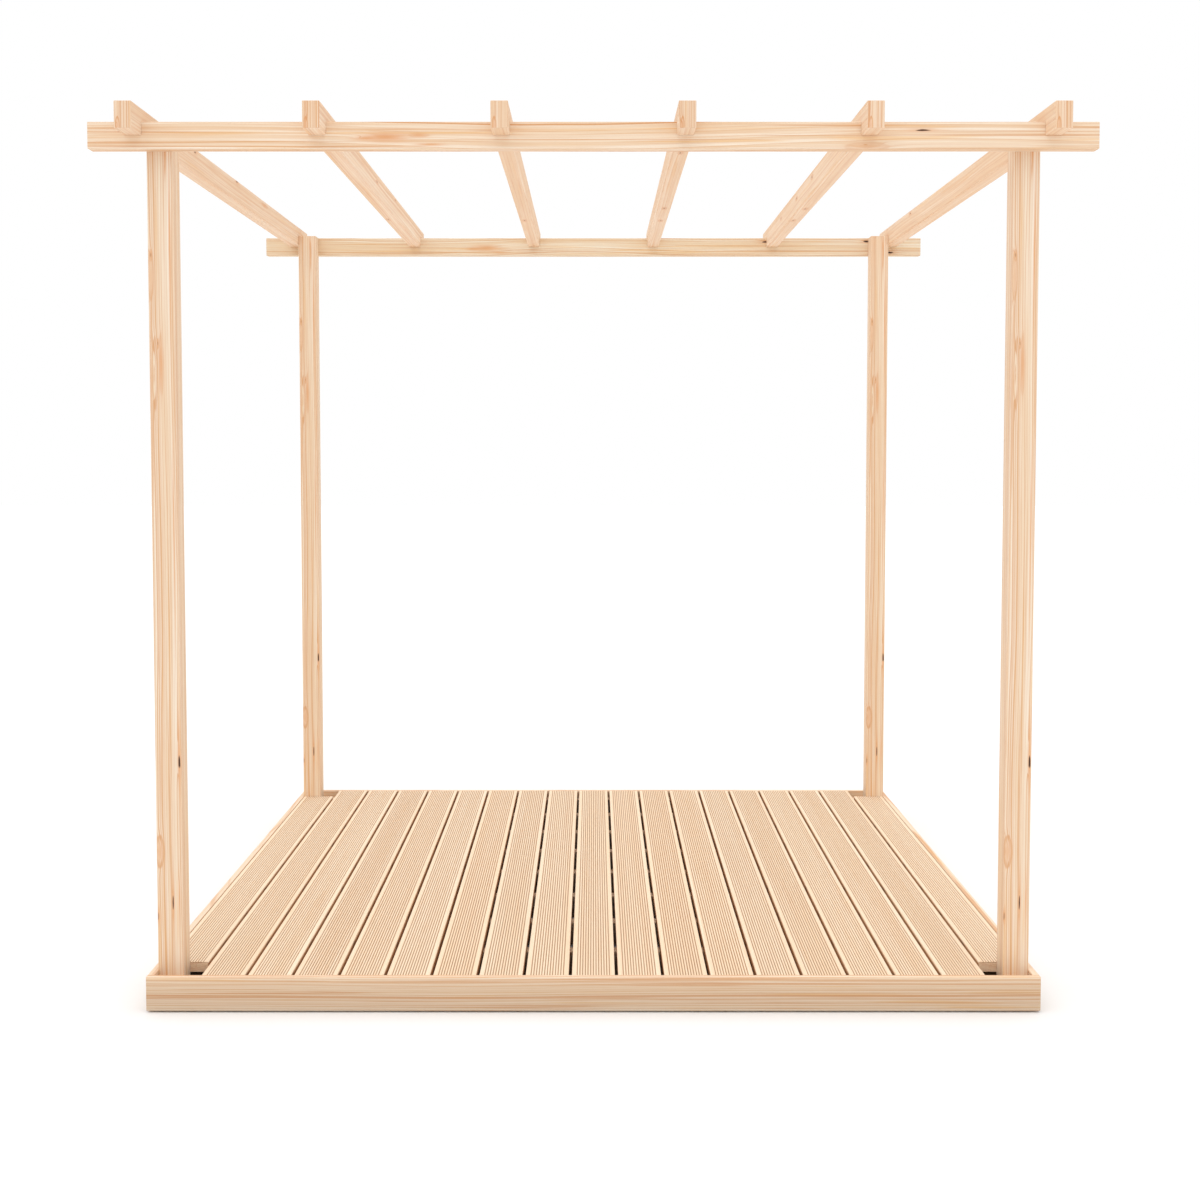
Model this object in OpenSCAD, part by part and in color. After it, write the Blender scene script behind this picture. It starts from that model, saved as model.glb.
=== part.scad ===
// Wooden pergola: an open frame of planed softwood that stands through its own raised deck.
//
// Four square posts rise through the corners of the deck. A beam lies against the outer face of
// each pair of posts, and six rafters are notched down over the two beams. The deck is reeded
// boards laid from front to rear over joists, closed all round by a fascia flush with its top.
//
// Millimetres, +Z up. The origin is the centre of the plan at ground level. +X runs to the right,
// along the joists and beams, and +Y runs from front to rear, along the boards and rafters.

/* [Deck boards] */
// Number of boards laid side by side
board_count = 19; // [13:1:22]
// Width of one board
board_w = 116; // [108:1:145]
// Thickness of one board
board_t = 28; // [20:1:36]
// Gap left between two boards
board_gap = 9; // [3:0.5:12]
// Bevel along the top edges of a board
board_arris = 2; // [0.5:0.5:4]
// Number of grooves along the top of a board
groove_count = 13; // [3:1:13]
// Distance between the centres of two grooves
groove_pitch = 7.3; // [6:0.1:8]
// Width of a groove at the top
groove_w = 4; // [2:0.5:5]
// Width of a groove at its floor
groove_floor_w = 1.6; // [0.5:0.1:1.8]
// Depth of a groove
groove_depth = 2.4; // [0.8:0.1:4]

/* [Joists] */
// Number of joists, counting the one at each end of the deck
joist_count = 9; // [5:1:14]
// Distance between the centres of two joists
joist_pitch = 300; // [240:5:450]
// Width of a joist
joist_w = 45; // [36:1:60]
// Height of a joist
joist_h = 70; // [50:1:150]

/* [Fascia] */
// Thickness of the boards that close the deck's sides
fascia_t = 18; // [12:1:28]
// Gap between the outermost deck boards and the side fascias
fascia_gap = 3; // [0.5:0.5:6]
// Height of the fascia's lower edge above the ground
fascia_lift = 5; // [1:1:20]

/* [Posts] */
// Width of a square post
post_w = 70; // [58:1:100]
// Length of a post, from the ground up
post_h = 2373; // [1900:1:2900]
// Distance between a post and the end of the deck board behind it
post_clear = 1; // [0.5:0.5:10]

/* [Beams] */
// Width of a beam
beam_w = 45; // [36:1:60]
// Height of a beam
beam_h = 70; // [58:1:150]
// Height of a post's top above the top of its beam
beam_drop = 0; // [0:1:30]
// How far a beam runs on past the outermost rafter
beam_overhang = 98; // [40:1:300]

/* [Rafters] */
// Number of rafters
rafter_count = 6; // [3:1:9]
// Width of a rafter
rafter_w = 45; // [36:1:60]
// Height of a rafter
rafter_h = 70; // [58:1:150]
// How far a rafter is let down over a beam
notch_depth = 35; // [10:1:45]
// Play between a notch and each side of its beam
notch_clear = 0.5; // [0.2:0.1:2]
// How far a rafter runs on past each beam
rafter_overhang = 98; // [40:1:300]

/* [Finish] */
// Bevel along the long edges of posts, beams, rafters, joists and fascias
timber_arris = 2; // [0.5:0.5:4]

/* [Hidden] */
// Deck: the boards' whole width, and the length from end joist to end joist
board_pitch = board_w + board_gap;
deck_w = board_count * board_pitch - board_gap;
deck_l = (joist_count - 1) * joist_pitch + joist_w;
deck_top = joist_h + board_t;

// Inner faces of the fascia ring, which the joists run to and the posts stand against
ring_x = deck_w / 2 + fascia_gap;
ring_y = deck_l / 2;
fascia_h = deck_top - fascia_lift;

// Post centres: tight against the side fascias, and just inside the end joists
post_x = ring_x - post_w / 2;
post_y = ring_y - joist_w - post_w / 2;

// The two outermost boards stop short of the posts
short_board_l = 2 * (post_y - post_w / 2 - post_clear);

// Beams lie on the outward faces of the posts
beam_y = post_y + post_w / 2 + beam_w / 2;
beam_top = post_h - beam_drop;

// The outermost rafters lie on the outward sides of the posts
rafter_x = post_x + post_w / 2 + rafter_w / 2;
rafter_pitch = 2 * rafter_x / (rafter_count - 1);
rafter_l = 2 * (beam_y + beam_w / 2 + rafter_overhang);
rafter_z = beam_top - notch_depth;
beam_l = 2 * (rafter_x + rafter_w / 2 + beam_overhang);

// A cutter runs this far past the faces that it opens
over = 1;

function numbered(stem, count) = [for (i = [1:count]) str(stem, i < 10 && count > 9 ? "0" : "", i)];

BOARDS = numbered("deck_board_", board_count);
JOISTS = numbered("joist_", joist_count);
RAFTERS = numbered("rafter_", rafter_count);

// Outline of a timber's section, centred, with its four edges bevelled
function timber_outline(w, h, arris) = [
    [-w / 2 + arris, -h / 2],
    [w / 2 - arris, -h / 2],
    [w / 2, -h / 2 + arris],
    [w / 2, h / 2 - arris],
    [w / 2 - arris, h / 2],
    [-w / 2 + arris, h / 2],
    [-w / 2, h / 2 - arris],
    [-w / 2, -h / 2 + arris]
];

// A timber lying from left to right, centred on its length and section
module timber_along_x(length, w, h)
    rotate([90, 0, 90])
        linear_extrude(height = length, center = true)
            polygon(timber_outline(w, h, timber_arris));

// A timber lying from front to rear, centred on its length and section
module timber_along_y(length, w, h)
    rotate([90, 0, 0])
        linear_extrude(height = length, center = true)
            polygon(timber_outline(w, h, timber_arris));

// A post standing on the ground, square at both ends; side and end are -1 or 1
module post(side, end)
    color("burlywood")
        translate([side * post_x, end * post_y, 0])
            linear_extrude(height = post_h)
                polygon(timber_outline(post_w, post_w, timber_arris));

// A beam on the outward faces of two posts; end is -1 or 1
module beam(end)
    color("burlywood")
        translate([0, end * beam_y, beam_top - beam_h / 2])
            timber_along_x(beam_l, beam_w, beam_h);

// The notch that lets a rafter down over a beam
module rafter_notch(end)
    translate([-rafter_w / 2 - over, end * beam_y - beam_w / 2 - notch_clear, -rafter_h / 2 - over])
        cube([rafter_w + 2 * over, beam_w + 2 * notch_clear, notch_depth + over]);

// A rafter, counted from the left
module rafter(i)
    color("wheat")
        translate([-rafter_x + i * rafter_pitch, 0, rafter_z + rafter_h / 2])
            difference() {
                timber_along_y(rafter_l, rafter_w, rafter_h);
                rafter_notch(-1);
                rafter_notch(1);
            }

// Outline points of one groove, from left to right, centred at x
function groove_points(x) = [
    [x - groove_w / 2, board_t],
    [x - groove_floor_w / 2, board_t - groove_depth],
    [x + groove_floor_w / 2, board_t - groove_depth],
    [x + groove_w / 2, board_t]
];

// Section of a deck board: a flat back, and a top grooved between two smooth margins
function board_outline() = concat(
    [[board_w / 2, 0]],
    [[board_w / 2, board_t - board_arris]],
    [[board_w / 2 - board_arris, board_t]],
    [for (i = [groove_count - 1:-1:0])
        for (j = [3:-1:0])
            groove_points((i - (groove_count - 1) / 2) * groove_pitch)[j]],
    [[-board_w / 2 + board_arris, board_t]],
    [[-board_w / 2, board_t - board_arris]],
    [[-board_w / 2, 0]]
);

// A deck board, counted from the left; the first and last are cut short between the posts
module deck_board(i)
    color(i % 2 == 0 ? "moccasin" : "navajowhite")
        translate([(i - (board_count - 1) / 2) * board_pitch, 0, joist_h])
            rotate([90, 0, 0])
                linear_extrude(
                    height = (i == 0 || i == board_count - 1) ? short_board_l : deck_l,
                    center = true
                )
                    polygon(board_outline());

// A joist, counted from the front
module joist(i)
    color("tan")
        translate([0, (i - (joist_count - 1) / 2) * joist_pitch, joist_h / 2])
            timber_along_x(2 * ring_x, joist_w, joist_h);

// A fascia across the front or rear of the deck, which covers the ends of the side fascias
module end_fascia(end)
    color("peru")
        translate([0, end * (ring_y + fascia_t / 2), fascia_lift + fascia_h / 2])
            timber_along_x(2 * (ring_x + fascia_t), fascia_t, fascia_h);

// A fascia along the left or right side of the deck
module side_fascia(side)
    color("peru")
        translate([side * (ring_x + fascia_t / 2), 0, fascia_lift + fascia_h / 2])
            timber_along_y(2 * ring_y, fascia_t, fascia_h);

post(-1, -1);  // post_front_left
post(1, -1);  // post_front_right
post(-1, 1);  // post_rear_left
post(1, 1);  // post_rear_right
beam(-1);  // beam_front
beam(1);  // beam_rear
for (i = [0:rafter_count - 1]) rafter(i);
for (i = [0:board_count - 1]) deck_board(i);
end_fascia(-1);  // fascia_front
end_fascia(1);  // fascia_rear
side_fascia(-1);  // fascia_left
side_fascia(1);  // fascia_right
for (i = [0:joist_count - 1]) joist(i);
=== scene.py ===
import math
import random
from collections import namedtuple

import bpy
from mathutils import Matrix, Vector


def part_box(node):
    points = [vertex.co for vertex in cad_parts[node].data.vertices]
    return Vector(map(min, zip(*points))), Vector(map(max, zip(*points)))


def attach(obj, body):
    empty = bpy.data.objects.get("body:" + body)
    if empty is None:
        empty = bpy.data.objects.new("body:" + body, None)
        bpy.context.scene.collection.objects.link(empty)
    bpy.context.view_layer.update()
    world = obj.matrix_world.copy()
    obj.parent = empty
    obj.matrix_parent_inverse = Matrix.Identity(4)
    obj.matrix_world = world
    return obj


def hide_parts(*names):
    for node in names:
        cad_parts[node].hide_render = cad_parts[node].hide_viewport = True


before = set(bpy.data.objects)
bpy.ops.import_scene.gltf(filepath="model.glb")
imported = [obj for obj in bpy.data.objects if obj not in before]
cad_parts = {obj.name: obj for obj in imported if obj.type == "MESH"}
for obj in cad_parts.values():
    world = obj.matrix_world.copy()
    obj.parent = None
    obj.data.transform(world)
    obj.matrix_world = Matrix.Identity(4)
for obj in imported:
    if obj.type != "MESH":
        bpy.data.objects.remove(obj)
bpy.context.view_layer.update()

MM = 0.001
NODES = sorted(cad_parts)

# A cutter, or what it cuts, runs this far on past the other, and this near counts as the same place
OVER = 10 * MM
NEAR = 0.01 * MM

# Rounding along every edge of a timber that turns more than SHARP, and along a deck board's top edges
ARRIS_ROUND = 1.9 * MM
BOARD_ROUND = 2.2 * MM
ROUND_SEGMENTS = 3
SHARP = math.radians(30)

# Play between a rafter's notch and each side of its beam
NOTCH_CLEAR = 0.5 * MM

# Reeding of a deck board: the depths of one groove at even steps from ridge to ridge, and the sharpest turn
# that is still shaded smooth
GROOVES = 13
GROOVE_PITCH = 7.3 * MM
GROOVE_DEPTHS = [depth * MM for depth in (0.0, 0.0, 0.05, 1.1, 2.3, 2.4, 2.3, 1.1, 0.05, 0.0)]
GROOVE_FLOOR = max(GROOVE_DEPTHS)
REEDED_WIDTH = GROOVES * GROOVE_PITCH
SMOOTH_TURN = math.radians(52)


def nodes_named(stem):
    return [node for node in NODES if node.startswith(stem)]


def middle(node):
    low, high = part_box(node)
    return (low + high) / 2


def half_size(node):
    low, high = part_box(node)
    return (high - low) / 2


JOIST_PITCH = middle("joist_2").y - middle("joist_1").y


# ---------------------------------------------------------------- colours


def linear(red, green, blue):
    """A colour from 0-255 display values, as the linear values that shaders take."""
    def channel(value):
        value /= 255
        return value / 12.92 if value <= 0.04045 else ((value + 0.055) / 1.055) ** 2.4

    return (channel(red), channel(green), channel(blue), 1.0)


PALE_WOOD = linear(248, 233, 212)
WARM_WOOD = linear(236, 205, 170)
RESIN = linear(240, 194, 134)
LATE_WOOD = linear(214, 152, 99)
BLUSH = linear(226, 166, 118)
HEART = linear(66, 36, 27)

# Tints that are multiplied into the wood's own colour
FIBRE_TINT = (0.94, 0.87, 0.8, 1)
SAWN_TINT = (0.955, 0.94, 0.93, 1)
# The rubbed tint is wear along the edges, with a painted highlight
RUBBED_AND_HIGHLIGHT_TINT = (1.04, 1.05, 1.07, 1)
# Painted shade: in a deck board's grooves, on its long edges and underside (darker over a joist), and
# towards the foot of a fascia or joist
GROOVE_TINT = (0.48, 0.37, 0.28, 1)
EDGE_TINT = (0.62, 0.44, 0.3, 1)
EDGE_TINT_AT_JOIST = (0.42, 0.28, 0.18, 1)
FASCIA_FOOT_TINT = (0.72, 0.71, 0.7, 1)
JOIST_FOOT_TINT = (0.4, 0.36, 0.33, 1)


# ---------------------------------------------------------------- selecting


def deselect_all():
    bpy.ops.object.select_all(action="DESELECT")


def activate(obj):
    deselect_all()
    obj.select_set(True)
    bpy.context.view_layer.objects.active = obj


def start_selection(obj, by_vertex, by_edge):
    """Makes a piece active with nothing of its mesh selected."""
    activate(obj)
    bpy.context.tool_settings.mesh_select_mode = (by_vertex, by_edge, False)
    mesh = obj.data
    for part in (mesh.polygons, mesh.edges, mesh.vertices):
        part.foreach_set("select", [False] * len(part))


def select_edges(obj, wanted):
    """Selects the edges whose two ends pass the test, and goes into edit mode."""
    start_selection(obj, by_vertex=False, by_edge=True)
    for edge in obj.data.edges:
        start, end = (obj.data.vertices[i] for i in edge.vertices)
        if wanted(start.co, end.co):
            edge.select = start.select = end.select = True
    bpy.ops.object.mode_set(mode="EDIT")


def select_vertices(obj, wanted):
    """Selects the vertices that pass the test, and goes into edit mode."""
    start_selection(obj, by_vertex=True, by_edge=False)
    for vertex in obj.data.vertices:
        vertex.select = wanted(vertex.co)
    bpy.ops.object.mode_set(mode="EDIT")


def leave_edit():
    bpy.ops.object.mode_set(mode="OBJECT")


# ---------------------------------------------------------------- shader node building


class Tree:
    """Adds nodes to a node tree; an input is given as a value or as the socket that feeds it."""

    def __init__(self, tree):
        self.tree = tree

    def add(self, kind, inputs=None, **settings):
        node = self.tree.nodes.new(kind)
        for name, value in settings.items():
            setattr(node, name, value)
        for name, value in (inputs or {}).items():
            self.feed(node.inputs[name], value)
        return node

    def feed(self, socket, value):
        if isinstance(value, bpy.types.NodeSocket):
            self.tree.links.new(value, socket)
        else:
            socket.default_value = value

    def math(self, operation, *values, clamp=False):
        node = self.add("ShaderNodeMath", operation=operation, use_clamp=clamp)
        for socket, value in zip(node.inputs, values):
            self.feed(socket, value)
        return node.outputs[0]

    def vector(self, operation, *values):
        node = self.add("ShaderNodeVectorMath", operation=operation)
        for socket, value in zip(node.inputs, values):
            self.feed(socket, value)
        return node.outputs["Value" if operation == "LENGTH" else "Vector"]

    def scaled(self, vector, factors):
        return self.vector("MULTIPLY", vector, factors)

    def joined(self, x=0.0, y=0.0, z=0.0):
        return self.add("ShaderNodeCombineXYZ", {"X": x, "Y": y, "Z": z}).outputs[0]

    def split(self, vector):
        return self.add("ShaderNodeSeparateXYZ", {"Vector": vector}).outputs

    def turned(self, vector, grain, centre=(0, 0, 0)):
        """A vector measured from a timber's centre, with X along its grain."""
        node = self.add(
            "ShaderNodeMapping",
            {"Vector": vector, "Location": centre, "Rotation": GRAIN_TURN[grain]},
            vector_type="TEXTURE",
        )
        return node.outputs["Vector"]

    def noise(self, vector, seed, detail=2.0, output="Fac"):
        node = self.add(
            "ShaderNodeTexNoise",
            {"Vector": vector, "W": seed, "Scale": 1.0, "Detail": detail},
            noise_dimensions="4D",
        )
        return node.outputs[output]

    def centred_noise(self, vector, seed, detail=2.0):
        """Three noises at once, each about zero."""
        return self.vector("SUBTRACT", self.noise(vector, seed, detail, "Color"), (0.5, 0.5, 0.5))

    def ramp(self, value, stops):
        """A grey value read from stops of (position, level)."""
        node = self.add("ShaderNodeValToRGB", {"Fac": value})
        elements = node.color_ramp.elements
        while len(elements) < len(stops):
            elements.new(0.5)
        for element, (position, level) in zip(elements, stops):
            element.position = position
            element.color = (level, level, level, 1)
        return node.outputs["Color"]

    def rise(self, value, start, end):
        """0 at one value and 1 at another, and held at those beyond them."""
        span = self.math("SUBTRACT", end, start)
        return self.math("DIVIDE", self.math("SUBTRACT", value, start), span, clamp=True)

    def blend(self, factor, first, second, blend_type="MIX"):
        node = self.add("ShaderNodeMix", data_type="RGBA", blend_type=blend_type, clamp_factor=True)
        for name, value in (("Factor", factor), ("A", first), ("B", second)):
            socket = next(s for s in node.inputs if s.name == name and s.enabled)
            self.feed(socket, value)
        return next(s for s in node.outputs if s.enabled)

    def tinted(self, colour, tint):
        return self.blend(1.0, colour, tint, blend_type="MULTIPLY")

    def group(self, group_tree, inputs):
        return self.add("ShaderNodeGroup", inputs, node_tree=group_tree).outputs


def new_group(name, inputs, outputs):
    """An empty shader group with named sockets; each is given as (name, kind)."""
    group = bpy.data.node_groups.new(name, "ShaderNodeTree")
    for direction, sockets in (("INPUT", inputs), ("OUTPUT", outputs)):
        for socket_name, kind in sockets:
            group.interface.new_socket(socket_name, in_out=direction, socket_type="NodeSocket" + kind)
    tree = Tree(group)
    source = tree.add("NodeGroupInput").outputs
    sink = tree.add("NodeGroupOutput").inputs
    return group, tree, source, sink


# ---------------------------------------------------------------- effects in the wood

# How a timber's coordinates are turned for X to lie along its grain
GRAIN_TURN = {"x": (0, 0, 0), "y": (0, 0, math.pi / 2), "z": (0, -math.pi / 2, 0)}

# Waves per metre of each pattern, along the grain and then across it both ways
BOW_WAVES = (0.8, 0, 0)
WANDER_WAVES = (2.2, 16, 16)
LINE_WAVES = (1.1, 240, 240)
STRIPE_WAVES = (1.6, 170, 170)
FIBRE_WAVES = (14, 900, 900)
DRIFT_WAVES = (1.7, 20, 20)
STREAK_WAVES = (2.4, 95, 95)
FLAW_WAVES = (25, 110, 110)
RUBBED_AND_HIGHLIGHT_WAVES = (14, 60, 60)

# How unevenly the rings are spaced: waves per metre of radius, and how many rings one can shift by
UNEVEN_WAVES = 55.0
UNEVEN_RINGS = 1.5

# A ring across its width: it darkens slowly outward and ends sharply
RING_STOPS = [(0.0, 0.1), (0.25, 0.0), (0.62, 0.12), (0.84, 1.0), (0.92, 1.0), (1.0, 0.1)]

# How strongly each pattern shows where its noise is so high
LINE_STOPS = [(0.57, 0.0), (0.64, 0.7)]
STRIPE_STOPS = [(0.36, 0.0), (0.64, 0.5)]
FIBRE_STOPS = [(0.44, 0.0), (0.7, 0.55)]
DRIFT_STOPS = [(0.4, 0.0), (0.7, 1.0)]
STREAK_STOPS = [(0.6, 0.0), (0.72, 0.6)]
RUBBED_AND_HIGHLIGHT_STOPS = [(0.4, 0.25), (0.62, 1.0)]

# How squarely a face crosses the grain, and how far it then counts as a sawn end
END_GRAIN_STOPS = [(0.6, 0.0), (0.8, 1.0)]

# A flaw outward from its middle, where 1 is the size given for it: its rim, its heart and what is left of
# its halo at 1, and how ragged its outline and its heart's are
RIM_STOPS = [(0.5, 0.0), (0.78, 1.0), (0.86, 1.0), (0.98, 0.0)]
HEART_STOPS = [(0.0, 1.0), (0.24, 0.95), (0.37, 0.0)]
HALO_LEFT = 0.2
RAGGED_OUTLINE = (0.35, 0.35, 0.35)
RAGGED_HEART = (0.2, 0.2, 0.2)

# The rubbed edges and their painted highlight reach this far in from an arris, measured along both faces
# together
RUBBED_AND_HIGHLIGHT_REACH = 8 * MM
RUBBED_AND_HIGHLIGHT_STRENGTH = 0.6

# The shade on a standing face starts below its top, and grows as this power of the depth
FOOT_START = 3 * MM
FOOT_POWER = 0.3

# The shade in a deck board's grooves starts this far down, and stops between these two distances below
# their floor
GROOVE_SHADE_START = 0.5 * MM
GROOVE_SHADE_STOP = 0.1 * MM
GROOVE_SHADE_END = 0.5 * MM

# The shade on its long edges is full this far below the grooves' floor. It is darker up to JOIST_SHADE from
# a joist's middle line, and no longer so at JOIST_SHADE_END.
EDGE_FADE = 5 * MM
JOIST_SHADE = 12 * MM
JOIST_SHADE_END = 40 * MM

# The surface: planed wood, its smoother late wood, its rougher sawn ends, and the relief of its grain
ROUGHNESS = 0.66
LATE_ROUGHNESS = -0.1
SAWN_ROUGHNESS = 0.15
GLOSS = 0.3
GRAIN_RELIEF = 0.25 * MM
RELIEF_STRENGTH = 0.35


def flaw_group():
    """Where the grain parts round a branch: a halo drawn out along it, its rim, and a dark heart."""
    group, t, source, sink = new_group(
        "Flaw",
        [("Vector", "Vector"), ("Place", "Vector"), ("Length", "Float"), ("Width", "Float"),
         ("Seed", "Float")],
        [("Halo", "Float"), ("Rim", "Float"), ("Heart", "Float")],
    )
    ragged = t.centred_noise(t.scaled(source["Vector"], FLAW_WAVES), source["Seed"])
    size = t.joined(source["Length"], source["Width"], source["Width"])
    away = t.vector("DIVIDE", t.vector("SUBTRACT", source["Vector"], source["Place"]), size)
    away = t.vector("ADD", away, t.scaled(ragged, RAGGED_OUTLINE))
    distance = t.vector("LENGTH", away)
    t.feed(sink["Halo"], t.math("POWER", HALO_LEFT, t.math("MULTIPLY", distance, distance)))
    t.feed(sink["Rim"], t.ramp(distance, RIM_STOPS))
    away_in_heart = t.vector("ADD", away, t.scaled(ragged, RAGGED_HEART))
    t.feed(sink["Heart"], t.ramp(t.vector("LENGTH", away_in_heart), HEART_STOPS))
    return group


def softwood_group():
    """Solid softwood, with X along the grain: growth rings round the pith, stripes, fibres and drift.

    Ring Width, Bow and Wander are lengths, and Bend is a length by which flaws push the rings outward.
    Figure is how strongly the rings and the colour vary from their means.
    """
    group, t, source, sink = new_group(
        "Softwood",
        [
            ("Vector", "Vector"), ("Pith", "Vector"), ("Seed", "Float"), ("Ring Width", "Float"),
            ("Bow", "Float"), ("Wander", "Float"), ("Bend", "Float"),
            ("Pale", "Color"), ("Warm", "Color"), ("Resin", "Color"), ("Late", "Color"),
            ("Late Amount", "Float"), ("Mottle", "Float"), ("Figure", "Float"), ("End Grain", "Float"),
        ],
        [("Color", "Color"), ("Late", "Float"), ("Height", "Float")],
    )
    seed = source["Seed"]

    def pattern(waves, detail, shift=(0, 0, 0)):
        return t.noise(t.vector("MULTIPLY_ADD", source["Vector"], waves, shift), seed, detail)

    def sideways(waves, amount):
        drift = t.centred_noise(t.scaled(source["Vector"], waves), seed, detail=1.0)
        return t.vector("MULTIPLY", drift, t.joined(y=amount, z=amount))

    # The trunk's slow bow, the same for a whole cross-section, and the finer wander of each ring
    centred = t.vector("SUBTRACT", source["Vector"], source["Pith"])
    centred = t.vector("ADD", centred, sideways(BOW_WAVES, source["Bow"]))
    centred = t.vector("ADD", centred, sideways(WANDER_WAVES, source["Wander"]))
    radius = t.math("ADD", t.vector("LENGTH", t.scaled(centred, (0, 1, 1))), source["Bend"])

    # Rings of uneven width
    uneven = t.add(
        "ShaderNodeTexNoise", {"W": t.math("MULTIPLY_ADD", radius, UNEVEN_WAVES, seed), "Detail": 1.0},
        noise_dimensions="1D",
    ).outputs["Fac"]
    rings = t.math("MULTIPLY_ADD", uneven, UNEVEN_RINGS, t.math("DIVIDE", radius, source["Ring Width"]))

    # Each ring has its own strength, from 0.35 to 1.1 where Figure is 1, and its own warmth
    own = t.add(
        "ShaderNodeTexWhiteNoise", {"W": t.math("ADD", t.math("FLOOR", rings), t.math("FLOOR", seed))},
        noise_dimensions="1D",
    ).outputs
    own_strength = t.math("MULTIPLY_ADD", t.math("POWER", own["Value"], 1.3), 0.75, -0.4)
    own_strength = t.math("MULTIPLY_ADD", own_strength, source["Figure"], 0.75)
    own_warmth = t.add("ShaderNodeSeparateColor", {"Color": own["Color"]}).outputs["Green"]

    # Late wood: the dark side of each ring, and fine lines between
    late = t.math("MULTIPLY", t.ramp(t.math("FRACT", rings), RING_STOPS), own_strength, clamp=True)
    late = t.math("MAXIMUM", late, t.ramp(pattern(LINE_WAVES, detail=2.0), LINE_STOPS))

    # Stripes a few millimetres wide that run for half a metre, fibres in them, and streaks of resin
    stripe = pattern(STRIPE_WAVES, detail=3.0)
    fibre = pattern(FIBRE_WAVES, detail=3.0)
    drift = pattern(DRIFT_WAVES, detail=2.0)
    streak = pattern(STREAK_WAVES, detail=1.0, shift=(3.1, 0, 0))

    # Pale wood warmed by the rings, stripes and drift, then resin, late wood and fibres over it
    warmth = t.math("MULTIPLY_ADD", own_warmth, 0.65, t.ramp(stripe, STRIPE_STOPS))
    mottle = t.math("MULTIPLY", t.ramp(drift, DRIFT_STOPS), source["Mottle"])
    warmth = t.math("ADD", warmth, mottle, clamp=True)
    warmth = t.math("MULTIPLY_ADD", t.math("SUBTRACT", warmth, 0.5), source["Figure"], 0.5)
    colour = t.blend(warmth, source["Pale"], source["Warm"])
    resin = t.math("MULTIPLY", t.ramp(streak, STREAK_STOPS), source["Late Amount"])
    colour = t.blend(resin, colour, source["Resin"])
    amount = t.math("MULTIPLY_ADD", source["End Grain"], 0.4, source["Late Amount"])
    colour = t.blend(t.math("MULTIPLY", late, amount), colour, source["Late"])
    colour = t.blend(t.ramp(fibre, FIBRE_STOPS), colour, t.tinted(colour, FIBRE_TINT))
    colour = t.blend(source["End Grain"], colour, t.tinted(colour, SAWN_TINT))

    t.feed(sink["Color"], colour)
    t.feed(sink["Late"], late)
    t.feed(sink["Height"], t.math("MULTIPLY_ADD", late, 0.4, t.math("MULTIPLY", fibre, 0.6)))
    return group


def rubbed_and_highlit_arris_group():
    """The long edges of a timber, paler in patches: rubbed wear with a painted highlight."""
    group, t, source, sink = new_group(
        "Rubbed And Highlit Arris",
        [("Vector", "Vector"), ("Half Size", "Vector"), ("Seed", "Float"), ("Color", "Color")],
        [("Color", "Color")],
    )
    inset = t.split(t.vector("SUBTRACT", source["Half Size"], t.vector("ABSOLUTE", source["Vector"])))
    near = t.rise(t.math("ADD", inset["Y"], inset["Z"]), RUBBED_AND_HIGHLIGHT_REACH, 0.0)
    patchy = t.ramp(t.noise(t.scaled(source["Vector"], RUBBED_AND_HIGHLIGHT_WAVES), source["Seed"]), RUBBED_AND_HIGHLIGHT_STOPS)
    strength = t.math("MULTIPLY", t.math("MULTIPLY", near, patchy), RUBBED_AND_HIGHLIGHT_STRENGTH)
    rubbed_and_highlit = t.tinted(source["Color"], RUBBED_AND_HIGHLIGHT_TINT)
    t.feed(sink["Color"], t.blend(strength, source["Color"], rubbed_and_highlit))
    return group


def foot_shade_group():
    """The shade on a standing face, which grows from near its top to the whole of Tint at its foot."""
    group, t, source, sink = new_group(
        "Foot Shade",
        [("Vector", "Vector"), ("Half Height", "Float"), ("Tint", "Color"), ("Color", "Color")],
        [("Color", "Color")],
    )
    start = t.math("SUBTRACT", source["Half Height"], FOOT_START)
    foot = t.math("MULTIPLY", source["Half Height"], -1.0)
    shade = t.math("POWER", t.rise(t.split(source["Vector"])["Z"], start, foot), FOOT_POWER)
    t.feed(sink["Color"], t.blend(shade, source["Color"], t.tinted(source["Color"], source["Tint"])))
    return group


def reeding_shade_group():
    """The shade in a deck board's grooves, and on its two long edges and its underside, not its sawn ends.

    On the edges it is darker over a joist; X runs along the board from the middle joist.
    """
    group, t, source, sink = new_group(
        "Reeding Shade",
        [("Vector", "Vector"), ("Half Height", "Float"), ("End Grain", "Float"), ("Color", "Color")],
        [("Color", "Color")],
    )
    place = t.split(source["Vector"])
    depth = t.math("SUBTRACT", source["Half Height"], place["Z"])
    below_floor = t.math("SUBTRACT", depth, GROOVE_FLOOR)

    reeded = t.math("LESS_THAN", t.math("ABSOLUTE", place["Y"]), REEDED_WIDTH / 2)
    in_groove = t.math("MULTIPLY", reeded, t.rise(depth, GROOVE_SHADE_START, GROOVE_FLOOR))
    above_floor = t.rise(below_floor, GROOVE_SHADE_END, GROOVE_SHADE_STOP)
    in_groove = t.math("MULTIPLY", in_groove, above_floor)

    from_joist = t.math("PINGPONG", place["X"], JOIST_PITCH / 2)
    between_joists = t.rise(from_joist, JOIST_SHADE, JOIST_SHADE_END)
    edge_tint = t.blend(between_joists, EDGE_TINT_AT_JOIST, EDGE_TINT)
    planed = t.math("SUBTRACT", 1.0, source["End Grain"])
    on_edge = t.math("MULTIPLY", t.rise(below_floor, 0.0, EDGE_FADE), planed)

    edged = t.blend(on_edge, source["Color"], t.tinted(source["Color"], edge_tint))
    t.feed(sink["Color"], t.blend(in_groove, edged, t.tinted(source["Color"], GROOVE_TINT)))
    return group


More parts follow.
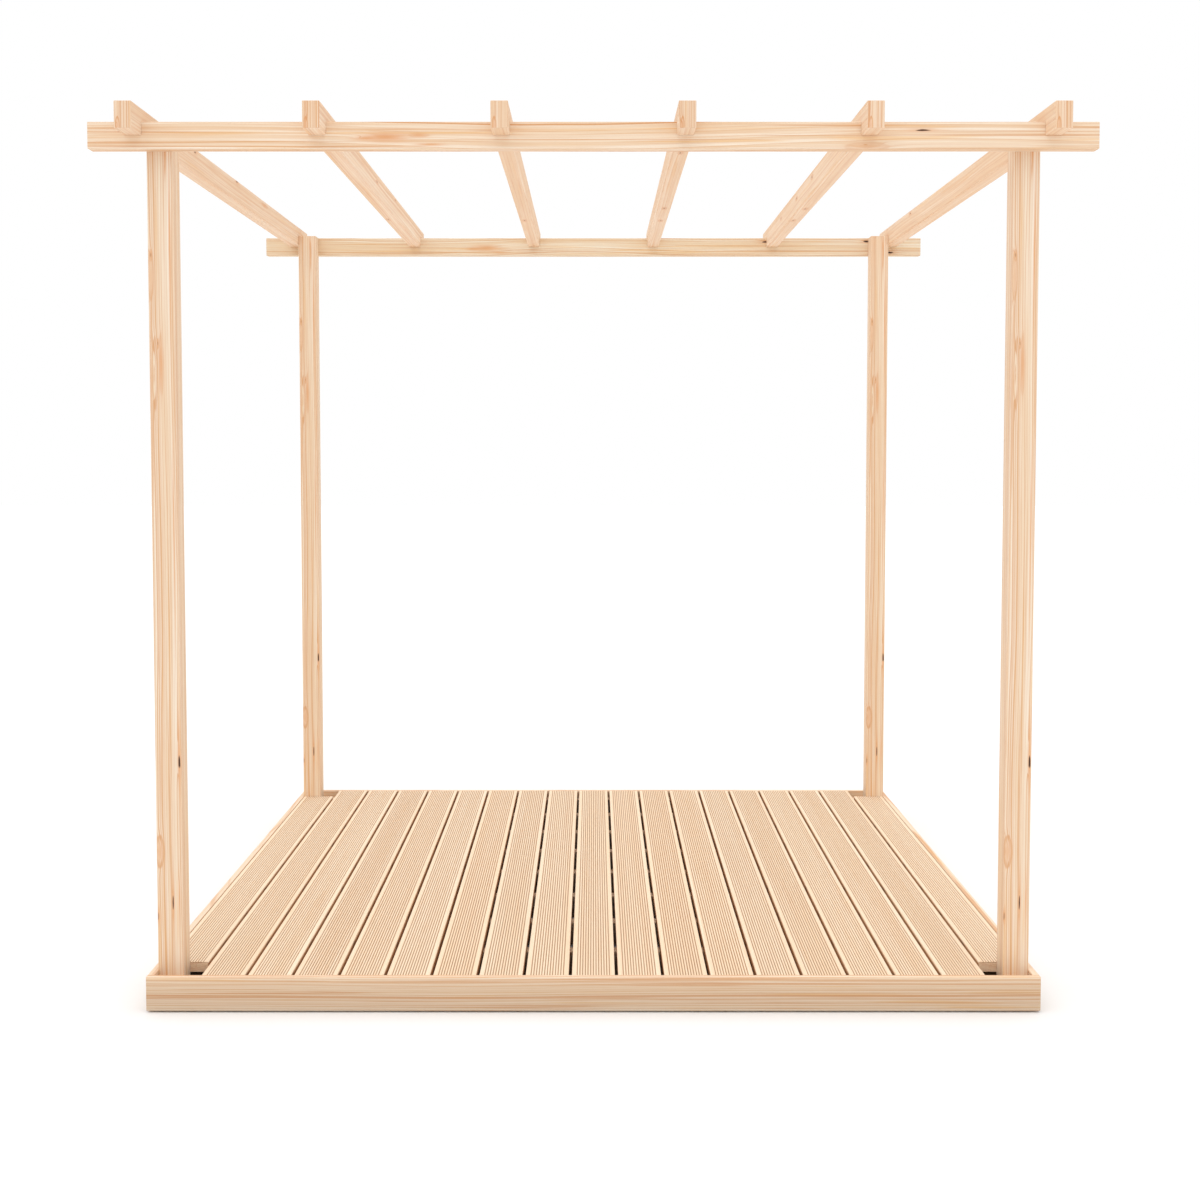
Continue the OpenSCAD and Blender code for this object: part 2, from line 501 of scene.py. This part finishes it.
FLAW = flaw_group()
SOFTWOOD = softwood_group()
RUBBED_AND_HIGHLIT_ARRIS = rubbed_and_highlit_arris_group()
FOOT_SHADE = foot_shade_group()
REEDING_SHADE = reeding_shade_group()


# ---------------------------------------------------------------- wood materials

# A flaw's place from the timber's centre, in millimetres and in the timber's own axes, how far it reaches
# along and across the grain, how far it pushes the rings, and how strongly its halo, rim and heart show
Flaw = namedtuple("Flaw", "along across up length width push blush rim heart", defaults=(0.0, 0.0, 0.0))


def stood_up_at_ends(t, local, end_grain, half_length):
    """A timber's coordinates, but with the grain on its two sawn ends running up and down them."""
    place = t.split(local)
    depth = t.math("SUBTRACT", t.math("ABSOLUTE", place["X"]), half_length)
    upright = t.joined(place["Z"], place["Y"], depth)
    mix = t.add("ShaderNodeMix", {"Factor": end_grain, "A": local, "B": upright}, data_type="VECTOR")
    return mix.outputs["Result"]


def wood(
    name, grain, low, high, seed, tone, pith, ring=8.5, bow=40, wander=8, late=0.7, mottle=0.4, figure=1.0,
    flaws=(), upright_ends=False, foot_tint=None, reeded=False,
):
    """Bare planed softwood for one piece, with its grain along the given axis.

    Lengths are in millimetres. tone is multiplied into every colour but the flaws' hearts. pith is where the
    trunk's centre lies from the timber's. ring, bow and wander shape the rings, late is how strongly late
    wood and resin show, mottle how strongly patches do, and figure how much rings and colour vary.
    With upright_ends the grain on the sawn ends runs up and down, and a flaw there has its height as along
    and 0 as up. foot_tint shades a standing face towards its foot, and reeded shades a deck board.
    """
    material = bpy.data.materials.new(name)
    material.use_nodes = True
    t = Tree(material.node_tree)
    shader = material.node_tree.nodes["Principled BSDF"]
    half = (high - low) / 2
    if grain == "y":
        half = half.yxz
    if grain == "z":
        half = half.zyx

    def toned(colour):
        return tuple(c * k for c, k in zip(colour[:3], tone)) + (1.0,)

    coordinates = t.add("ShaderNodeTexCoord").outputs
    local = t.turned(coordinates["Object"], grain, (low + high) / 2)
    facing = t.turned(coordinates["Normal"], grain)
    end_grain = t.ramp(t.math("ABSOLUTE", t.split(facing)["X"]), END_GRAIN_STOPS)
    body = stood_up_at_ends(t, local, end_grain, half.x) if upright_ends else local

    bend = 0.0
    marks = []
    for index, flaw in enumerate(flaws):
        mark = t.group(FLAW, {
            "Vector": body, "Place": (flaw.along * MM, flaw.across * MM, flaw.up * MM),
            "Length": flaw.length * MM, "Width": flaw.width * MM, "Seed": seed + index,
        })
        bend = t.math("MULTIPLY_ADD", mark["Halo"], flaw.push * MM, bend)
        marks.append(mark)

    grown = t.group(SOFTWOOD, {
        "Vector": body, "Pith": (0, pith[0] * MM, pith[1] * MM), "Seed": seed, "Ring Width": ring * MM,
        "Bow": bow * MM, "Wander": wander * MM, "Bend": bend,
        "Pale": toned(PALE_WOOD), "Warm": toned(WARM_WOOD), "Resin": toned(RESIN), "Late": toned(LATE_WOOD),
        "Late Amount": late, "Mottle": mottle, "Figure": figure, "End Grain": end_grain,
    })
    colour = grown["Color"]
    for flaw, mark in zip(flaws, marks):
        colour = t.blend(t.math("MULTIPLY", mark["Halo"], flaw.blush), colour, toned(BLUSH))
        colour = t.blend(t.math("MULTIPLY", mark["Rim"], flaw.rim), colour, toned(LATE_WOOD))
        colour = t.blend(t.math("MULTIPLY", mark["Heart"], flaw.heart), colour, HEART)
    if foot_tint:
        colour = t.group(FOOT_SHADE, {
            "Vector": local, "Half Height": half.z, "Tint": foot_tint, "Color": colour,
        })["Color"]
    if reeded:
        colour = t.group(REEDING_SHADE, {
            "Vector": local, "Half Height": half.z, "End Grain": end_grain, "Color": colour,
        })["Color"]
    # Edges paler in patches: rubbed wear with a painted highlight
    colour = t.group(RUBBED_AND_HIGHLIT_ARRIS, {
        "Vector": local, "Half Size": half, "Seed": seed, "Color": colour,
    })["Color"]

    rough = t.math("MULTIPLY_ADD", grown["Late"], LATE_ROUGHNESS, ROUGHNESS)
    rough = t.math("MULTIPLY_ADD", end_grain, SAWN_ROUGHNESS, rough)
    relief = t.add("ShaderNodeBump", {
        "Height": grown["Height"], "Strength": RELIEF_STRENGTH, "Distance": GRAIN_RELIEF,
    })
    t.feed(shader.inputs["Base Color"], colour)
    t.feed(shader.inputs["Roughness"], rough)
    t.feed(shader.inputs["Normal"], relief.outputs["Normal"])
    shader.inputs["Specular IOR Level"].default_value = GLOSS
    return material


# ---------------------------------------------------------------- timbers


def new_block(name, low, high):
    """A block between two corners, with its place in its mesh."""
    deselect_all()
    bpy.ops.mesh.primitive_cube_add(size=1, location=(low + high) / 2, scale=high - low)
    block = bpy.context.active_object
    block.name = block.data.name = name
    bpy.ops.object.transform_apply(location=True, rotation=True, scale=True)
    return block


def ease_edges(obj):
    """Rounds every sharp edge, and keeps the flat faces flat-shaded."""
    activate(obj)
    bpy.ops.object.shade_smooth()
    bpy.ops.object.modifier_add(type="BEVEL")
    bevel = obj.modifiers[-1]
    bevel.width = ARRIS_ROUND
    bevel.segments = ROUND_SEGMENTS
    bevel.limit_method = "ANGLE"
    bevel.angle_limit = SHARP
    bevel.harden_normals = True
    bpy.ops.object.modifier_apply(modifier=bevel.name)


def cut_with(obj, low, high):
    """Takes the box between two corners out of a piece."""
    cutter = new_block("cutter", low, high)
    activate(obj)
    bpy.ops.object.modifier_add(type="BOOLEAN")
    cut = obj.modifiers[-1]
    cut.operation = "DIFFERENCE"
    cut.solver = "EXACT"
    cut.object = cutter
    bpy.ops.object.modifier_apply(modifier=cut.name)
    bpy.data.objects.remove(cutter)


def build_timber(name, low, high):
    """A timber that is square at both ends."""
    timber = new_block(name, low, high)
    ease_edges(timber)
    return timber


def build_rafter(name, low, high):
    """A rafter notched down over both beams."""
    rafter = new_block(name, low, high)
    for beam in nodes_named("beam_"):
        beam_low, beam_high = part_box(beam)
        cut_with(
            rafter,
            Vector((low.x - OVER, beam_low.y - NOTCH_CLEAR, low.z - OVER)),
            Vector((high.x + OVER, beam_high.y + NOTCH_CLEAR, beam_high.z)),
        )
    ease_edges(rafter)
    return rafter


def new_reeding(name, low, high):
    """A flat grid over the reeded part of a deck board's top, with lines along the board."""
    deselect_all()
    bpy.ops.mesh.primitive_grid_add(
        x_subdivisions=GROOVES * len(GROOVE_DEPTHS), y_subdivisions=1, size=1,
        location=((low.x + high.x) / 2, (low.y + high.y) / 2, high.z),
    )
    reeding = bpy.context.active_object
    reeding.name = reeding.data.name = name
    reeding.scale = (REEDED_WIDTH, high.y - low.y, 1)
    bpy.ops.object.transform_apply(location=True, rotation=True, scale=True)
    return reeding


def press_grooves(board, low, high):
    """Draws the grid's lines down into rounded ridges and grooves."""
    steps = len(GROOVE_DEPTHS)
    step = GROOVE_PITCH / steps
    left = (low.x + high.x - REEDED_WIDTH) / 2
    for phase, depth in enumerate(GROOVE_DEPTHS):
        if depth:
            select_vertices(board, lambda co: round((co.x - left) / step) % steps == phase)
            bpy.ops.transform.translate(value=(0, 0, -depth))
            leave_edit()


def add_margins(board, low, high):
    """Adds the smooth margins beside the reeding, out to the board's whole width."""
    centre = (low.x + high.x) / 2
    margin = (high.x - low.x - REEDED_WIDTH) / 2
    for side in (-1, 1):
        rim = centre + side * REEDED_WIDTH / 2
        select_edges(board, lambda a, b: abs(a.x - rim) < NEAR and abs(b.x - rim) < NEAR)
        bpy.ops.mesh.extrude_edges_move(TRANSFORM_OT_translate={"value": (side * margin, 0, 0)})
        leave_edit()


def make_solid(board, low, high):
    """Extrudes the board's top down past its underside, and cuts it level there."""
    activate(board)
    bpy.ops.object.mode_set(mode="EDIT")
    bpy.ops.mesh.select_all(action="SELECT")
    bpy.ops.mesh.extrude_region_move(TRANSFORM_OT_translate={"value": (0, 0, low.z - high.z - OVER)})
    bpy.ops.mesh.select_all(action="SELECT")
    bpy.ops.mesh.normals_make_consistent(inside=False)
    bpy.ops.mesh.bisect(plane_co=(0, 0, low.z), plane_no=(0, 0, 1), use_fill=True, clear_inner=True)
    leave_edit()


def round_top_edges(board, low, high):
    """Rounds over the two long edges of the board's top."""
    def on_top_edge(point):
        return point.z > high.z - NEAR and min(point.x - low.x, high.x - point.x) < NEAR

    def along_board(a, b):
        return on_top_edge(a) and on_top_edge(b) and abs(a.x - b.x) < NEAR

    select_edges(board, along_board)
    bpy.ops.mesh.bevel(offset=BOARD_ROUND, segments=ROUND_SEGMENTS, affect="EDGES")
    leave_edit()


def build_board(name, low, high):
    """A reeded deck board."""
    board = new_reeding(name, low, high)
    press_grooves(board, low, high)
    add_margins(board, low, high)
    make_solid(board, low, high)
    round_top_edges(board, low, high)
    activate(board)
    bpy.ops.object.shade_smooth_by_angle(angle=SMOOTH_TURN)
    return board


def copy_of(model, name, move):
    """A copy of a piece with its own mesh, moved within it."""
    activate(model)
    bpy.ops.object.duplicate()
    copy = bpy.context.active_object
    copy.name = copy.data.name = name
    copy.location = move
    bpy.ops.object.transform_apply(location=True, rotation=True, scale=True)
    return copy


def build_pieces(node_stem, piece_stem, build):
    """A piece for every node of a kind: one of each size is modelled, and the others are its copies."""
    pieces = {}
    model_node = {}
    for node in nodes_named(node_stem):
        name = node.replace(node_stem, piece_stem)
        size = tuple(round(side / NEAR) for side in half_size(node))
        if size in model_node:
            model = model_node[size]
            pieces[node] = copy_of(pieces[model], name, middle(node) - middle(model))
        else:
            pieces[node] = build(name, *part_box(node))
            model_node[size] = node
    return pieces


def fit_piece(obj, node, material):
    """Gives a piece its material and lets it stand for its CAD node."""
    obj.data.materials.clear()
    obj.data.materials.append(material)
    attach(obj, "root")
    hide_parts(node)


# ---------------------------------------------------------------- studio

FLOOR_SIZE = 80
FLOOR_PALENESS = 0.9

# How brightly the backdrop lights the pergola: at the horizon, and how much more overhead
HORIZON_LIGHT = 0.75
OVERHEAD_LIGHT = 0.55

LAMP_PLACE = (-1.5, -3.0, 6.0)
LAMP_ENERGY = 0.45
LAMP_SPREAD = math.radians(70)

# The camera looks along +Y and is tipped down; its frame is shifted by these shares of its width
EYE_PLACE = (0, -5.6501, 1.5108)
EYE_TILT = math.radians(3.207)
LENS_MM = 50
FRAME_MM = 36
FRAME_SHIFT = (0.0055, -0.0465)
CLIP_END = 200


def build_floor():
    """A plain pale floor."""
    deselect_all()
    bpy.ops.mesh.primitive_plane_add(size=FLOOR_SIZE, location=(0, 0, 0))
    floor = bpy.context.active_object
    floor.name = "studio_floor"
    material = bpy.data.materials.new("Studio floor")
    material.use_nodes = True
    shader = material.node_tree.nodes["Principled BSDF"]
    shader.inputs["Base Color"].default_value = (FLOOR_PALENESS, FLOOR_PALENESS, FLOOR_PALENESS, 1)
    shader.inputs["Roughness"].default_value = 0.9
    shader.inputs["Specular IOR Level"].default_value = 0.0
    floor.data.materials.append(material)


def build_backdrop():
    """Soft light from all round, brighter overhead than at the horizon, and plain white where it is seen."""
    world = bpy.data.worlds.new("Studio")
    world.use_nodes = True
    t = Tree(world.node_tree)
    background = world.node_tree.nodes["Background"]
    path = t.add("ShaderNodeLightPath").outputs
    seen = t.math("ADD", path["Is Camera Ray"], path["Is Glossy Ray"])
    seen = t.math("ADD", seen, path["Is Transmission Ray"], clamp=True)
    up = t.split(t.add("ShaderNodeTexCoord").outputs["Generated"])["Z"]
    glow = t.math("MULTIPLY_ADD", t.math("MAXIMUM", up, 0.0), OVERHEAD_LIGHT, HORIZON_LIGHT)
    glow = t.math("ADD", t.math("MULTIPLY", glow, t.math("SUBTRACT", 1.0, seen)), seen)
    background.inputs["Color"].default_value = (1, 1, 1, 1)
    t.feed(background.inputs["Strength"], glow)
    bpy.context.scene.world = world


def build_lamp():
    """A large soft lamp, high in front and to the left."""
    bpy.ops.object.light_add(type="SUN", location=LAMP_PLACE)
    lamp = bpy.context.active_object
    lamp.name = "soft_key"
    lamp.data.energy = LAMP_ENERGY
    lamp.data.angle = LAMP_SPREAD
    lamp.rotation_euler = (-lamp.location).to_track_quat("-Z", "Y").to_euler()


def build_camera():
    """Eye height in front of the pergola, tipped slightly down."""
    data = bpy.data.cameras.new("camera")
    camera = bpy.data.objects.new("camera", data)
    bpy.context.scene.collection.objects.link(camera)
    data.lens = LENS_MM
    data.sensor_width = FRAME_MM
    data.shift_x, data.shift_y = FRAME_SHIFT
    data.clip_end = CLIP_END
    camera.location = EYE_PLACE
    camera.rotation_euler = (math.pi / 2 - EYE_TILT, 0, 0)
    bpy.context.scene.camera = camera


# ---------------------------------------------------------------- the whole pergola

# The faces that flaws lie on. A post's or a beam's across runs from front to rear, and a rafter's from right
# to left; a post's along runs up it, and its up runs from right to left.
POST_FRONT = -half_size("post_front_left").y / MM
BEAM_FRONT = -half_size("beam_front").y / MM
RAFTER_RIGHT = -half_size("rafter_1").x / MM
RAFTER_LEFT = -RAFTER_RIGHT
RAFTER_UNDER = -half_size("rafter_1").z / MM

POST_FLAWS = (
    # Long streaks
    Flaw(1120, POST_FRONT, -14, 85, 4, push=3, blush=1.0),
    Flaw(870, POST_FRONT, -23, 260, 3.5, push=1.5, blush=1.0),
    Flaw(94, POST_FRONT, -24, 320, 2.5, push=1, blush=0.9),
    Flaw(-500, POST_FRONT, -29, 150, 3, push=1.5, blush=1.0),
    Flaw(-904, POST_FRONT, -8, 120, 2.5, push=1, blush=0.9),
    Flaw(-894, POST_FRONT, -25, 80, 3, push=1.5, blush=0.9),
    # Two long figures in the upper half, each with a small knot at its head
    Flaw(790, POST_FRONT, 28, 75, 9, push=7, blush=0.4, rim=0.4),
    Flaw(845, POST_FRONT, 27, 18, 5, push=3, blush=0.8, rim=0.3, heart=0.3),
    Flaw(530, POST_FRONT, 21, 110, 8, push=8, rim=0.6),
    Flaw(555, POST_FRONT, 4, 95, 7, push=4, blush=0.9, rim=0.2),
    Flaw(610, POST_FRONT, 12, 16, 4, push=3, blush=0.8, rim=0.3, heart=0.3),
    # In the lower half a resin pocket, a pale knot, a second pocket and a small knot
    Flaw(-515, POST_FRONT, -30, 55, 8.5, push=4, blush=0.6, heart=1.0),
    Flaw(-763, POST_FRONT, 26, 50, 13, push=7, blush=0.6, rim=0.6),
    Flaw(-904, POST_FRONT, -8, 55, 5.5, push=3, blush=0.6, heart=1.0),
    Flaw(-940, POST_FRONT, 33, 30, 7, push=4, blush=0.8, heart=0.4),
)

# On each beam a broad figure with its offshoots, and then its knots
BEAM_FLAWS = {
    "beam_front": (
        Flaw(-545, BEAM_FRONT, -5, 75, 15, push=9, blush=1.0),
        Flaw(-598, BEAM_FRONT, -8, 35, 5, push=7, blush=0.9),
        Flaw(-458, BEAM_FRONT, 0, 30, 7, push=6, blush=0.8, rim=0.15),
        Flaw(-428, BEAM_FRONT, -24, 45, 4, push=3, blush=0.9),
        Flaw(719, BEAM_FRONT, -30, 65, 13, push=12, blush=0.4, rim=0.2),
        Flaw(865, BEAM_FRONT, 13, 65, 7, push=5, blush=0.6, heart=1.0),
    ),
    "beam_rear": (
        Flaw(-437, BEAM_FRONT, -5, 75, 15, push=9, blush=1.0),
        Flaw(-488, BEAM_FRONT, -9, 35, 5, push=7, blush=0.9),
        Flaw(-375, BEAM_FRONT, -24, 40, 4, push=3, blush=0.8),
        Flaw(1209, BEAM_FRONT, -23, 40, 12, push=4, blush=0.5, heart=1.0),
        Flaw(1110, BEAM_FRONT, 22, 40, 12, push=4, blush=0.5, heart=1.0),
        Flaw(698, BEAM_FRONT, 20, 40, 12, push=4, blush=0.5, heart=1.0),
        Flaw(-1202, BEAM_FRONT, 5, 40, 12, push=4, blush=0.5, heart=1.0),
    ),
}

# A pale knot low on both ends of every rafter, and the knots on the sides and undersides
RAFTER_END_FLAW = Flaw(-28, 13, 0, 26, 6, push=6, blush=0.5, rim=0.7)
RAFTER_FLAWS = {
    "rafter_1": (
        Flaw(-631, RAFTER_RIGHT, 26, 38, 10, push=4, blush=0.7, heart=0.65),
        Flaw(-45, RAFTER_RIGHT, 31, 38, 10, push=4, blush=0.7, heart=0.6),
        Flaw(420, RAFTER_RIGHT, 20, 60, 7, push=5, blush=0.8, rim=0.2),
    ),
    "rafter_2": (
        Flaw(-180, RAFTER_RIGHT, 9, 30, 8, push=5, blush=0.6, rim=0.3, heart=0.45),
        Flaw(324, RAFTER_RIGHT, 25, 30, 8, push=4, blush=0.6, heart=0.4),
        Flaw(377, 9, RAFTER_UNDER, 35, 9, push=5, blush=0.6, rim=0.3, heart=0.5),
    ),
    "rafter_3": (
        Flaw(404, 6, RAFTER_UNDER, 35, 9, push=5, blush=0.6, rim=0.3, heart=0.55),
    ),
    "rafter_4": (
        Flaw(406, 0, RAFTER_UNDER, 35, 10, push=5, blush=0.6, rim=0.4, heart=0.55),
        Flaw(101, 0, RAFTER_UNDER, 35, 10, push=5, blush=0.6, rim=0.4, heart=0.55),
        Flaw(-960, 0, RAFTER_UNDER, 30, 9, push=5, blush=0.6, rim=0.4, heart=0.5),
    ),
    "rafter_5": (
        Flaw(401, 6, RAFTER_UNDER, 35, 10, push=5, blush=0.6, rim=0.4, heart=0.55),
        Flaw(115, 0, RAFTER_UNDER, 35, 10, push=5, blush=0.6, rim=0.4, heart=0.55),
        Flaw(-236, RAFTER_LEFT, 16, 35, 9, push=5, blush=0.6, rim=0.4, heart=0.5),
        Flaw(171, RAFTER_LEFT, 9, 35, 9, push=5, blush=0.6, rim=0.4, heart=0.5),
        Flaw(650, RAFTER_LEFT, 6, 30, 8, push=5, blush=0.6, rim=0.4, heart=0.5),
    ),
    "rafter_6": (
        Flaw(648, RAFTER_LEFT, 25, 35, 9, push=4, blush=0.6, heart=0.5),
    ),
}

draw = random.Random(7)


def grown(node, grain, tone=(1, 1, 1), **settings):
    """Wood for a piece, with its own seed and its own small differences."""
    low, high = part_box(node)
    seed = draw.uniform(0, 100)
    light = draw.uniform(0.985, 1.015)
    tone = [light * part for part in tone]
    pith = (draw.uniform(-25, 25), draw.choice((-1, 1)) * draw.uniform(120, 170))
    return wood(node + " wood", grain, low, high, **{"seed": seed, "tone": tone, "pith": pith, **settings})


def fit_posts():
    """All four posts show the same figure."""
    for node, post in build_pieces("post", "corner_post", build_timber).items():
        tone = (0.985, 1.025, 1.08) if "front" in node else (0.985, 1.02, 1.05)
        fit_piece(post, node, grown(
            node, "z", tone, seed=31.0, ring=3.8, pith=(120, -110), bow=30, wander=5, late=0.8, figure=0.85,
            flaws=POST_FLAWS,
        ))


def fit_beams():
    for node, beam in build_pieces("beam", "cross_beam", build_timber).items():
        tone = (0.96, 0.96, 0.97) if node == "beam_front" else (0.965, 1.045, 1.09)
        fit_piece(beam, node, grown(
            node, "x", tone, ring=6.5, pith=(60, -140), bow=80, wander=10, late=1.0, figure=1.3,
            flaws=BEAM_FLAWS[node],
        ))


def fit_rafters():
    for node, rafter in build_pieces("rafter", "roof_rafter", build_rafter).items():
        side = draw.choice((-1, 1))
        pith = (side * draw.uniform(130, 160), draw.uniform(70, 110))
        fit_piece(rafter, node, grown(
            node, "y", (1.0, 0.975, 0.975), ring=6.5, pith=pith, bow=25, wander=5, late=0.5, figure=0.8,
            upright_ends=True, flaws=(RAFTER_END_FLAW, *RAFTER_FLAWS[node]),
        ))


def fit_fascias():
    for node, fascia in build_pieces("fascia", "deck_fascia", build_timber).items():
        grain = "x" if node in ("fascia_front", "fascia_rear") else "y"
        fit_piece(fascia, node, grown(
            node, grain, ring=8.0, bow=30, wander=5, late=1.0, mottle=0.1, figure=0.5,
            foot_tint=FASCIA_FOOT_TINT,
        ))


def fit_joists():
    # The joists' tone is raised as painted light, against the shade under the deck
    for node, joist in build_pieces("joist", "deck_joist", build_timber).items():
        fit_piece(joist, node, grown(
            node, "x", (1.06, 1.07, 1.08), late=0.3, foot_tint=JOIST_FOOT_TINT,
        ))


def fit_boards():
    # The boards' tone warms their hue, and its lift in brightness is painted light from above
    for node, board in build_pieces("deck_board", "reeded_board", build_board).items():
        fit_piece(board, node, grown(
            node, "y", (1.05, 1.04, 1.02), ring=6.0, bow=8, wander=2, late=0.15, mottle=0.05, figure=0.4,
            reeded=True,
        ))


fit_posts()
fit_beams()
fit_rafters()
fit_fascias()
fit_joists()
fit_boards()

build_floor()
build_backdrop()
build_lamp()
build_camera()
bpy.context.scene.view_settings.view_transform = "Standard"
